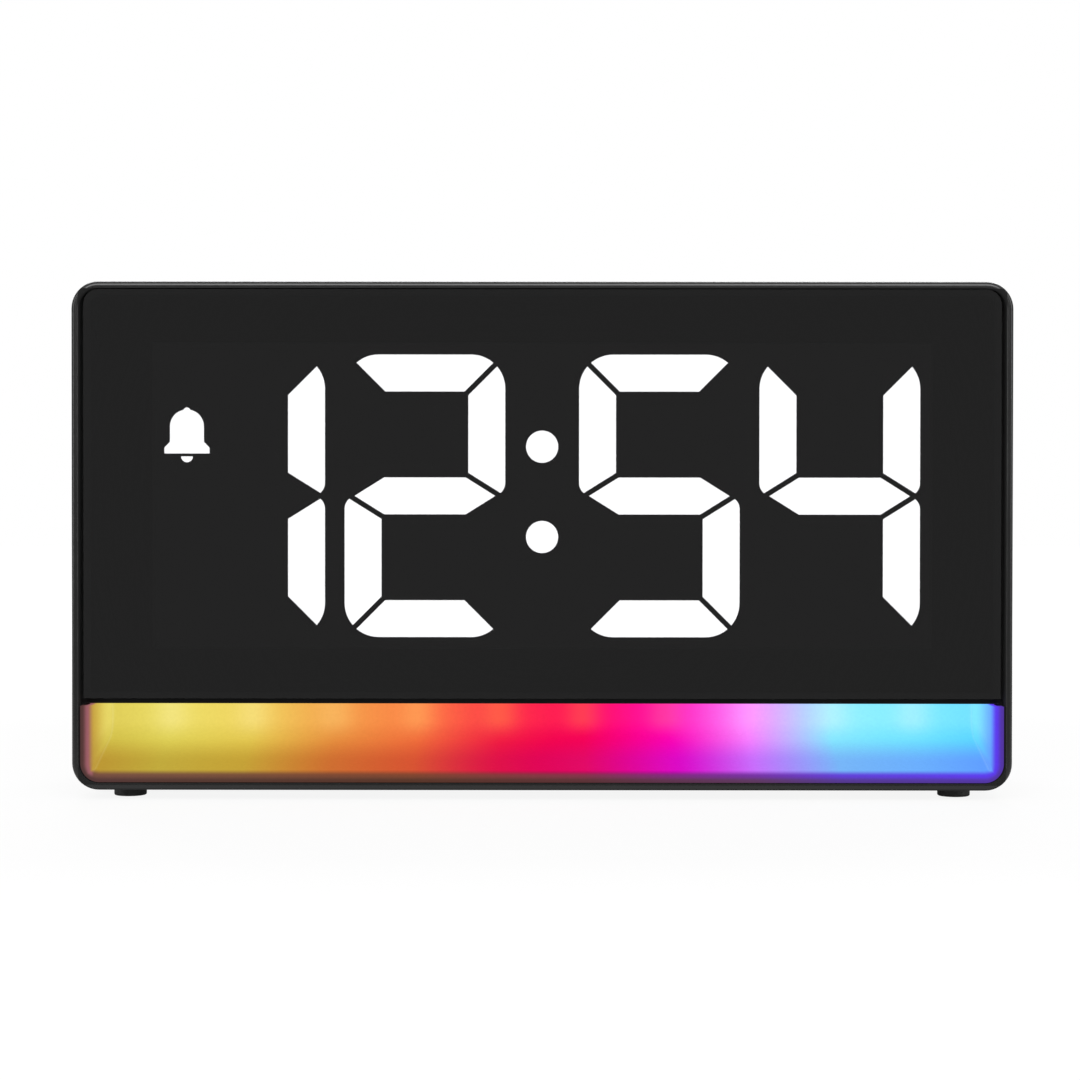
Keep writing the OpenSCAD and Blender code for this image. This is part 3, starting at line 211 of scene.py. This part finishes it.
def dishedButtons():
    material = moulded("buttonBlack", buttonLook)
    tree = material.node_tree
    bump = tree.nodes["Principled BSDF"].inputs["Normal"].links[0].from_node
    axes = objectAxes(tree)
    aside = maths(tree, "SUBTRACT", maths(tree, "WRAP", axes["X"], dishLook["pitch"], 0),
                  dishLook["pitch"] / 2)
    above = maths(tree, "SUBTRACT", axes["Z"], dishLook["line"])
    apart = addNode(tree, "ShaderNodeCombineXYZ", {"X": aside, "Z": above}).outputs[0]
    pole = maths(tree, "LESS_THAN", vectorMaths(tree, "LENGTH", apart)["Value"], dishLook["pole"])
    facing = vectorMaths(tree, "SUBTRACT", (0, dishLook["radius"], 0), apart)[0]
    facing = vectorMaths(tree, "NORMALIZE", facing)[0]
    facing = addNode(tree, "ShaderNodeVectorTransform", {"Vector": facing}, vector_type="NORMAL",
                     convert_from="OBJECT", convert_to="WORLD").outputs[0]
    own = addNode(tree, "ShaderNodeNewGeometry").outputs["Normal"]
    mended = addNode(tree, "ShaderNodeMix", {0: pole, 4: own, 5: facing}, data_type="VECTOR")
    setInputs(tree, bump, {"Normal": mended.outputs[1]})
    return material


rubberLook = {"dark": (0.014, 0.014, 0.014), "light": (0.03, 0.03, 0.029), "grain": 2600, "cloud": 220,
              "rough": (0.45, 0.6), "bump": 0.4, "shine": 0.4}
sliderLook = {"dark": (0.62, 0.62, 0.6), "light": (0.72, 0.72, 0.7), "grain": 4000, "cloud": 200,
              "rough": (0.36, 0.46), "bump": 0.1}

dress(frontCasing(), "front_casing")
dress(moulded("casingRear", casingLook), "rear_cover")
dress(cellDoor(), "battery_door")
dress(moulded("snoozeBlack", buttonLook), "snooze_bar")
dress(dishedButtons(), "time_button", "alarm_button", "up_button", "down_button", "light_button")
dress(moulded("rubberBlack", rubberLook), "foot_front_left", "foot_front_right", "foot_rear_left",
      "foot_rear_right")
dress(moulded("sliderWhite", sliderLook), "alarm_slider")
print("casing, buttons and feet dressed")

# smoked lens: clear acrylic with a dark dye and a hair of haze
lensLook = {"dye": (0.07, 0.07, 0.071, 1), "rough": (0.005, 0.015), "cloud": 35, "bend": 1.49}


def smokedLens():
    material, tree, shader = startMaterial("lensSmoke")
    setInputs(tree, shader, {
        "Roughness": ranged(tree, noise(tree, lensLook["cloud"]), (0, 1), lensLook["rough"]),
        "Base Color": lensLook["dye"], "Transmission Weight": 1, "IOR": lensLook["bend"],
    })
    return material


# display behind the lens
tapeLook = {"dark": (0.003, 0.003, 0.003), "light": (0.006, 0.006, 0.006), "grain": 1500, "cloud": 90,
            "rough": (0.7, 0.85), "bump": 0.2, "shine": 0.2}
reflectorLook = {"dark": (0.002, 0.002, 0.002), "light": (0.004, 0.004, 0.004), "grain": 2500, "cloud": 90,
                 "rough": (0.6, 0.75), "bump": 0.2, "shine": 0.12}
resinLook = {"dark": (0.002, 0.002, 0.002), "light": (0.004, 0.004, 0.004), "grain": 5000, "cloud": 150,
             "rough": (0.6, 0.75), "bump": 0.1, "shine": 0.12}
litLook = {**resinLook, "dark": (0.7, 0.7, 0.72), "light": (0.8, 0.8, 0.82), "glow": 15.6}


def litResin():
    material = moulded("litResin", litLook)
    tree = material.node_tree
    setInputs(tree, tree.nodes["Principled BSDF"],
              {"Emission Color": grey(1), "Emission Strength": litLook["glow"]})
    return material


dress(smokedLens(), "display_lens")
dress(moulded("tapeBlack", tapeLook), "lens_tape")
dress(moulded("reflectorBlack", reflectorLook), "display_reflector")
dress(moulded("darkResin", resinLook), "dark_segments")
dress(litResin(), "lit_segments")
print("lens and display dressed")

# mood light: the LEDs' light across the diffuser is painted into its emission, one display colour for each
# LED along the back; the other faces take theirs from it
# each "From" row gives a face's red, green or blue from the LED's red, green, blue and a constant
moodLook = {
    "pitch": 0.0146, "halfWidth": 0.0785,
    "leds": [(221, 206, 86), (225, 196, 80), (228, 140, 64), (238, 108, 61), (239, 32, 67),
             (242, 0, 87), (248, 2, 172), (246, 124, 254), (129, 229, 253), (108, 224, 254)],
    "ends": [(208, 190, 75), (92, 212, 253)], "endPlaces": (0.02, 0.98),
    "floorFrom": ((0.593, -0.103, -0.099, 0.348), (0.186, 0.88, 0.053, -0.237),
                  (-0.151, -0.204, 1.055, 0.178)),
    "hazeFrom": ((0, 0, 0, 1), (-0.344, 0.158, -0.252, 1.206), (0.358, 0.678, 0.54, -0.263)),
    "lipInnerFrom": ((0.118, -0.05, -0.052, 0.413), (0.019, 0.132, -0.102, 0.223),
                     (-0.556, -0.105, 0.608, 0.61)),
    "lipOuterFrom": ((0.063, -0.019, 0.035, 0.281), (0.039, 0.038, 0.01, 0.16),
                     (-0.459, -0.059, 0.297, 0.548)),
    "floorRise": (0.0060, 0.0097), "depthRise": (-0.023, -0.007), "hazeRise": (0.0083, 0.0126),
    "haze": 0.11, "hotSpot": 0.18, "spotPower": 2, "lift": 0.05,
    "lipCorner": (0.0754, 0.0064), "recessCorner": 0.0012, "rimCorner": 0.0033, "sideStart": 0.06,
    "lipFades": {"inner": (0.0, 0.45), "outer": (0.42, 0.86), "shade": (0.96, 1.02)},
    "lipShade": (30, 26, 28), "pinkReflection": (154, 94, 102), "pinkReflectionFrom": (-0.0762, -0.0768),
    "endWall": (0.0766, 0.01746, -0.0201), "endFade": (0.0004, 0.0001), "endLight": 0.04,
    "crease": {"floor": (0.0006, 0.0003), "wall": (0.00003, 0.0002)}, "creaseLight": 0.07,
    "frost": (0.975, 1.025), "frostScale": 1800, "frostBump": 0.1, "frostDepth": 0.00005,
    "strength": 1, "plastic": 0.0012, "rough": 0.5, "shine": 0.02,
}


def ledStripe(tree, place):  # the LEDs' colours blended along the recess
    span = 2 * moodLook["halfWidth"]
    count = len(moodLook["leds"])
    places = [0.5 + (i - (count - 1) / 2) * moodLook["pitch"] / span for i in range(count)]
    first, last = zip(moodLook["endPlaces"], moodLook["ends"])
    stops = [first, *zip(places, moodLook["leds"]), last]
    node = addNode(tree, "ShaderNodeValToRGB", {"Fac": place})
    band = node.color_ramp
    while len(band.elements) < len(stops):
        band.elements.new(1)
    for element, (position, colour) in zip(band.elements, stops):
        element.position = position
        element.color = displayColour(colour)
    return node.outputs["Color"]


def takenFrom(tree, colour, rows):
    parts = []
    for *shares, plus in rows:
        dot = vectorMaths(tree, "DOT_PRODUCT", colour, shares)["Value"]
        parts.append(maths(tree, "ADD", dot, plus, clamp=True))
    return addNode(tree, "ShaderNodeCombineXYZ", dict(zip("XYZ", parts))).outputs[0]


def moodGlow(tree):  # display colour of the glow, the LEDs' own colour and the axes
    axes = objectAxes(tree)
    led = ledStripe(tree, maths(tree, "MULTIPLY_ADD", axes["X"], 0.5 / moodLook["halfWidth"], 0.5))
    # painted shade: low and towards the front the recess takes its deeper floor colours, the lit upper back
    # the LEDs' own
    rise = maths(tree, "MINIMUM", fade(tree, axes["Z"], *moodLook["floorRise"]),
                 fade(tree, axes["Y"], *moodLook["depthRise"]))
    colour = mixColour(tree, rise, takenFrom(tree, led, moodLook["floorFrom"]), led)
    # a painted pool of light by each LED, in the upper part of the recess
    wave = maths(tree, "COSINE", maths(tree, "MULTIPLY", axes["X"], 2 * math.pi / moodLook["pitch"]))
    spot = maths(tree, "POWER", maths(tree, "MULTIPLY_ADD", wave, -0.5, 0.5), moodLook["spotPower"])
    upper = fade(tree, axes["Z"], *moodLook["hazeRise"])
    haze = maths(tree, "MULTIPLY_ADD", spot, moodLook["hotSpot"], moodLook["haze"])
    haze = maths(tree, "MULTIPLY", haze, maths(tree, "MINIMUM", upper, rise))
    colour = mixColour(tree, haze, colour, takenFrom(tree, led, moodLook["hazeFrom"]))
    # painted light: the upper part of the recess is a little brighter
    return scaled(tree, colour, maths(tree, "MULTIPLY_ADD", upper, moodLook["lift"], 1)), led, axes


def acrossLip(tree, axes):  # 0 at the recess with its square corner, 1 at the rim with its round one
    sideways = maths(tree, "SUBTRACT", maths(tree, "ABSOLUTE", axes["X"]), moodLook["lipCorner"][0])
    sideways = maths(tree, "MAXIMUM", sideways, 0)
    down = maths(tree, "MAXIMUM", maths(tree, "SUBTRACT", moodLook["lipCorner"][1], axes["Z"]), 0)
    corner = addNode(tree, "ShaderNodeCombineXYZ", {"X": sideways, "Y": down}).outputs[0]
    reach = vectorMaths(tree, "LENGTH", corner)["Value"]
    longest = maths(tree, "MAXIMUM", sideways, down)
    past = maths(tree, "MULTIPLY", reach, maths(tree, "SUBTRACT", longest, moodLook["recessCorner"]))
    room = maths(tree, "SUBTRACT", maths(tree, "MULTIPLY", longest, moodLook["rimCorner"]),
                 maths(tree, "MULTIPLY", reach, moodLook["recessCorner"]))
    # at the sides the lip's painted reflection and shade start a little inside the recess
    sides = maths(tree, "DIVIDE", sideways, longest)
    return maths(tree, "MULTIPLY_ADD", sides, moodLook["sideStart"], maths(tree, "DIVIDE", past, room))


def endLight(tree, axes):  # the end walls catch a little more light, and most in their creases
    half, lean, front = moodLook["endWall"]
    wall = maths(tree, "MULTIPLY_ADD", axes["Y"], -lean, half + lean * front)
    inside = maths(tree, "SUBTRACT", wall, maths(tree, "ABSOLUTE", axes["X"]))
    ends = maths(tree, "MULTIPLY", fade(tree, inside, *moodLook["endFade"]), moodLook["endLight"])
    crease = maths(tree, "MULTIPLY", fade(tree, inside, *moodLook["crease"]["floor"]),
                   fade(tree, inside, *moodLook["crease"]["wall"]))
    return maths(tree, "MULTIPLY_ADD", crease, moodLook["creaseLight"], ends)


def glowingDiffuser():
    material, tree, shader = startMaterial("diffuserGlow")
    colour, led, axes = moodGlow(tree)
    colour = mixColour(tree, endLight(tree, axes), colour, grey(1))
    # painted reflection and shade on the lip: the LEDs' light reflected at its inner edge, pink by the left
    # end, darker at its outer edge, and a painted shade at the last of it
    pinkReflection = fade(tree, axes["X"], *moodLook["pinkReflectionFrom"])
    tones = {"inner": mixColour(tree, pinkReflection, takenFrom(tree, led, moodLook["lipInnerFrom"]),
                                displayColour(moodLook["pinkReflection"])),
             "outer": takenFrom(tree, led, moodLook["lipOuterFrom"]),
             "shade": displayColour(moodLook["lipShade"])}
    across = acrossLip(tree, axes)
    for part, tone in tones.items():
        colour = mixColour(tree, fade(tree, across, *moodLook["lipFades"][part]), colour, tone)
    # fine frosting of the plastic
    frost = noise(tree, moodLook["frostScale"])
    colour = scaled(tree, colour, ranged(tree, frost, (0, 1), moodLook["frost"]))
    setInputs(tree, shader, {
        "Emission Color": asLight(tree, colour), "Emission Strength": moodLook["strength"],
        "Normal": bumped(tree, frost, moodLook["frostBump"], moodLook["frostDepth"]),
        "Base Color": grey(moodLook["plastic"]), "Roughness": moodLook["rough"],
        "Specular IOR Level": moodLook["shine"],
    })
    return material


ledLook = {"whiten": 0.55, "strength": 1.5, "colour": (0.6, 0.58, 0.5, 1), "rough": 0.4}


def glowingLeds():
    material, tree, shader = startMaterial("ledGlow")
    colour = mixColour(tree, ledLook["whiten"], moodGlow(tree)[0], grey(1))
    setInputs(tree, shader, {
        "Emission Color": asLight(tree, colour), "Emission Strength": ledLook["strength"],
        "Base Color": ledLook["colour"], "Roughness": ledLook["rough"],
    })
    return material


dress(glowingDiffuser(), "light_diffuser")
dress(glowingLeds(), "light_leds")
print("mood light dressed")

# works inside the casing
boardLook = {"dark": (0.01, 0.075, 0.03), "light": (0.018, 0.11, 0.045), "grain": 900, "cloud": 120,
             "rough": (0.3, 0.42), "bump": 0.15}
boardWhiteLook = {**boardLook, "dark": (0.66, 0.67, 0.66), "light": (0.74, 0.75, 0.74)}
creamLook = {"dark": (0.56, 0.52, 0.4), "light": (0.66, 0.62, 0.5), "grain": 3000, "cloud": 200,
             "rough": (0.4, 0.5), "bump": 0.1}
chipLook = {"dark": (0.012, 0.012, 0.013), "light": (0.024, 0.024, 0.025), "grain": 4200, "cloud": 300,
            "rough": (0.5, 0.6), "bump": 0.25, "shine": 0.35}
steelLook = {"dark": (0.5, 0.5, 0.49), "light": (0.62, 0.62, 0.61), "grain": 2600, "cloud": 300,
             "rough": (0.22, 0.34), "bump": 0.08, "metal": 1}
brassLook = {**steelLook, "dark": (0.6, 0.44, 0.16), "light": (0.72, 0.54, 0.22)}
screwLook = {"dark": (0.03, 0.03, 0.032), "light": (0.055, 0.055, 0.058), "grain": 3400, "cloud": 400,
             "rough": (0.3, 0.42), "bump": 0.12, "metal": 1}
ribbonLook = {"white": (0.68, 0.68, 0.66, 1), "grooveShade": (0.42, 0.42, 0.41, 1), "wirePitch": 0.00127,
              "ridge": (-1, -0.2), "bump": 0.6, "bumpDepth": 0.0002, "rough": 0.45}


def ribbonCable():
    material, tree, shader = startMaterial("ribbonWhite")
    turns = maths(tree, "MULTIPLY", objectAxes(tree)["X"], 2 * math.pi / ribbonLook["wirePitch"])
    # painted shade in the grooves between the wires
    ridge = fade(tree, maths(tree, "COSINE", turns), *ribbonLook["ridge"])
    setInputs(tree, shader, {
        "Base Color": mixColour(tree, ridge, ribbonLook["grooveShade"], ribbonLook["white"]),
        "Normal": bumped(tree, ridge, ribbonLook["bump"], ribbonLook["bumpDepth"]),
        "Roughness": ribbonLook["rough"],
    })
    return material


dress(moulded("boardGreen", boardLook), "display_board", "control_board")
dress(moulded("boardWhite", boardWhiteLook), "light_board")
dress(moulded("creamPlastic", creamLook), "ribbon_sockets", "snooze_plunger", "time_plunger",
      "alarm_plunger", "up_plunger", "down_plunger", "light_plunger", "display_leds")
dress(moulded("chipBlack", chipLook), "controller_chip", "switch_cases", "slide_switch_case", "sounder",
      "power_socket_tongue")
dress(moulded("canSteel", steelLook), "quartz_crystal", "backup_cell", "filter_capacitor",
      "power_socket_shell", "cell_contact_plus", "cell_contact_minus", "board_screws")
dress(moulded("pinBrass", brassLook), "light_pins")
dress(moulded("screwBlack", screwLook), "case_screws")
dress(ribbonCable(), "display_ribbon")
print("inner works dressed")

# printed words under the rear controls, read from behind
printLook = {"face": 0.0215, "lift": 0.00003, "line": 0.0599, "size": 0.0021,
             "words": {"TIME": -0.024, "ALARM": -0.008, "UP": 0.008, "DOWN": 0.024, "LIGHT": 0.040,
                       "ON": -0.0436, "OFF": -0.0364}}
inkLook = {"dark": (0.52, 0.52, 0.52), "light": (0.62, 0.62, 0.62), "grain": 6000, "cloud": 300,
           "rough": (0.5, 0.6), "bump": 0.05}


def printedWords():
    turn = Matrix(((-1, 0, 0, 0), (0, 0, 1, printLook["face"]), (0, 1, 0, printLook["line"]), (0, 0, 0, 1)))
    sheet = bmesh.new()
    for word, middle in printLook["words"].items():
        text = bpy.data.curves.new(word, "FONT")
        text.body = word
        text.size = printLook["size"]
        text.align_x = "CENTER"
        text.align_y = "CENTER"
        holder = bpy.data.objects.new(word, text)
        before = len(sheet.verts)
        sheet.from_mesh(holder.to_mesh())
        sheet.verts.ensure_lookup_table()
        fresh = sheet.verts[before:]
        bmesh.ops.transform(sheet, matrix=Matrix.Translation((middle, 0, 0)) @ turn, verts=fresh)
        holder.to_mesh_clear()
        bpy.data.objects.remove(holder)
    raised = bmesh.ops.extrude_face_region(sheet, geom=sheet.faces[:])
    tops = [v for v in raised["geom"] if isinstance(v, bmesh.types.BMVert)]
    bmesh.ops.translate(sheet, vec=(0, printLook["lift"], 0), verts=tops)
    bmesh.ops.recalc_face_normals(sheet, faces=sheet.faces[:])
    mesh = bpy.data.meshes.new("controlWords")
    sheet.to_mesh(mesh)
    sheet.free()
    piece = bpy.data.objects.new("controlWords", mesh)
    scene.collection.objects.link(piece)
    mesh.materials.append(moulded("printWhite", inkLook))
    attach(piece, "clock")


printedWords()
print("rear words printed")

# white sweep, soft overhead light and the photograph's camera
stageLook = {"ambient": 0.35, "floorGlow": 0.895, "glowReach": (0.14, 0.5), "floorAmbient": 0.3,
             "floorTone": 0.085, "floorSize": 6.0, "aim": (0, 0, 0.05)}
# in mirrors the studio is white overhead and dim round the horizon, with dark flags at the sides and behind
mirrorLook = {"horizon": 0.425, "rise": (0.15, 0.65), "flags": (0.45, 0.8), "dim": 0.3,
              # near: the painted pool of light by the object; footprint and shadow: the painted shadow
              # under it, both in mirrored rays
              "backFlag": (0.3, 0.8), "backDim": 0.4, "near": (-0.11, -0.05),
              "footprint": {"X": (0.078, 0.083), "Y": (0.0205, 0.0243)}, "shadow": 0.12}
# place, size and power of each softbox
boxLook = {"above": ((0, -1.0, 0.62), (1.2, 0.6), 14.0), "behind": ((0, 0.8, 0.9), (1.2, 0.3), 9.0),
           "left": ((-0.95, -0.5, 0.3), (0.25, 0.7), 3.0), "right": ((0.95, -0.5, 0.3), (0.25, 0.7), 3.0)}
cameraLook = {"place": (0.00045, -0.4225, 0.04889), "pan": 0.0020, "tilt": -0.0112, "roll": 0.0009,
              "lens": 78.54, "sensor": 36, "nearClip": 0.01}


def whiteWorld():
    world = bpy.data.worlds.new("studio")
    world.use_nodes = True
    tree = world.node_tree
    path = addNode(tree, "ShaderNodeLightPath").outputs
    shown = maths(tree, "MAXIMUM", path["Is Camera Ray"], path["Is Transmission Ray"])
    sky = addNode(tree, "ShaderNodeTexCoord").outputs["Generated"]
    way = addNode(tree, "ShaderNodeSeparateXYZ", {"Vector": sky}).outputs
    flags = fade(tree, maths(tree, "ABSOLUTE", way["X"]), *mirrorLook["flags"])
    behind = fade(tree, way["Y"], *mirrorLook["backFlag"])
    dome = between(tree, fade(tree, way["Z"], *mirrorLook["rise"]), mirrorLook["horizon"], 1)
    dome = maths(tree, "MULTIPLY", dome, between(tree, flags, 1, 1 - mirrorLook["dim"]))
    dome = maths(tree, "MULTIPLY", dome, between(tree, behind, 1, 1 - mirrorLook["backDim"]))
    plain = between(tree, shown, stageLook["ambient"], 1)
    setInputs(tree, tree.nodes["Background"],
              {"Color": grey(1), "Strength": mixValue(tree, path["Is Glossy Ray"], plain, dome)})
    scene.world = world


# in mirrored rays the floor carries a painted shadow under the object and a painted pool of light by it,
# and is dim far off
# the camera sees it glow and the lamps' light on it, less the shadow
def floorMaterial():
    material, tree, shader = startMaterial("floorWhite")
    tree.nodes.remove(shader)
    path = addNode(tree, "ShaderNodeLightPath").outputs
    mirrored = maths(tree, "MAXIMUM", path["Is Glossy Ray"], path["Is Transmission Ray"])
    axes = objectAxes(tree)
    near = between(tree, fade(tree, axes["Y"], *mirrorLook["near"]), mirrorLook["horizon"], 1)
    clear = [fade(tree, maths(tree, "ABSOLUTE", axes[axis]), *edges)
             for axis, edges in mirrorLook["footprint"].items()]
    near = maths(tree, "MULTIPLY", near,
                 between(tree, maths(tree, "MAXIMUM", *clear), mirrorLook["shadow"], 1))
    plain = between(tree, mirrored, stageLook["floorAmbient"], 0)
    strength = maths(tree, "MULTIPLY_ADD", mirrored, near, plain)
    apart = vectorMaths(tree, "LENGTH", objectPlace(tree))["Value"]
    glow = between(tree, fade(tree, apart, *stageLook["glowReach"]), stageLook["floorGlow"], 1)
    strength = maths(tree, "MAXIMUM", strength, maths(tree, "MULTIPLY", path["Is Camera Ray"], glow))
    light = addNode(tree, "ShaderNodeEmission", {"Color": grey(1), "Strength": strength})
    tone = between(tree, mirrored, stageLook["floorTone"], 0)
    matt = addNode(tree, "ShaderNodeBsdfDiffuse", {"Color": tone})
    both = addNode(tree, "ShaderNodeAddShader", {0: light.outputs[0], 1: matt.outputs[0]})
    setInputs(tree, tree.nodes["Material Output"], {"Surface": both.outputs[0]})
    return material


def whiteFloor():
    sheet = bmesh.new()
    bmesh.ops.create_grid(sheet, x_segments=1, y_segments=1, size=stageLook["floorSize"] / 2)
    mesh = bpy.data.meshes.new("floor")
    sheet.to_mesh(mesh)
    sheet.free()
    floor = bpy.data.objects.new("floor", mesh)
    scene.collection.objects.link(floor)
    mesh.materials.append(floorMaterial())


def softbox(name, place, size, watts):
    lamp = bpy.data.lights.new(name, "AREA")
    lamp.shape = "RECTANGLE"
    lamp.size, lamp.size_y = size
    lamp.energy = watts
    holder = bpy.data.objects.new(name, lamp)
    holder.location = place
    aim = Vector(stageLook["aim"]) - Vector(place)
    holder.rotation_euler = aim.to_track_quat("-Z", "Y").to_euler()
    holder.visible_camera = False
    scene.collection.objects.link(holder)


def photoCamera():
    data = bpy.data.cameras.new("camera")
    data.sensor_width = cameraLook["sensor"]
    data.lens = cameraLook["lens"]
    data.clip_start = cameraLook["nearClip"]
    camera = bpy.data.objects.new("camera", data)
    camera.matrix_world = (Matrix.Translation(cameraLook["place"])
                           @ Matrix.Rotation(cameraLook["pan"], 4, "Z")
                           @ Matrix.Rotation(math.pi / 2 + cameraLook["tilt"], 4, "X")
                           @ Matrix.Rotation(cameraLook["roll"], 4, "Z"))
    scene.collection.objects.link(camera)
    scene.camera = camera


whiteWorld()
whiteFloor()
for name, box in boxLook.items():
    softbox(name, *box)
photoCamera()
print("stage set")
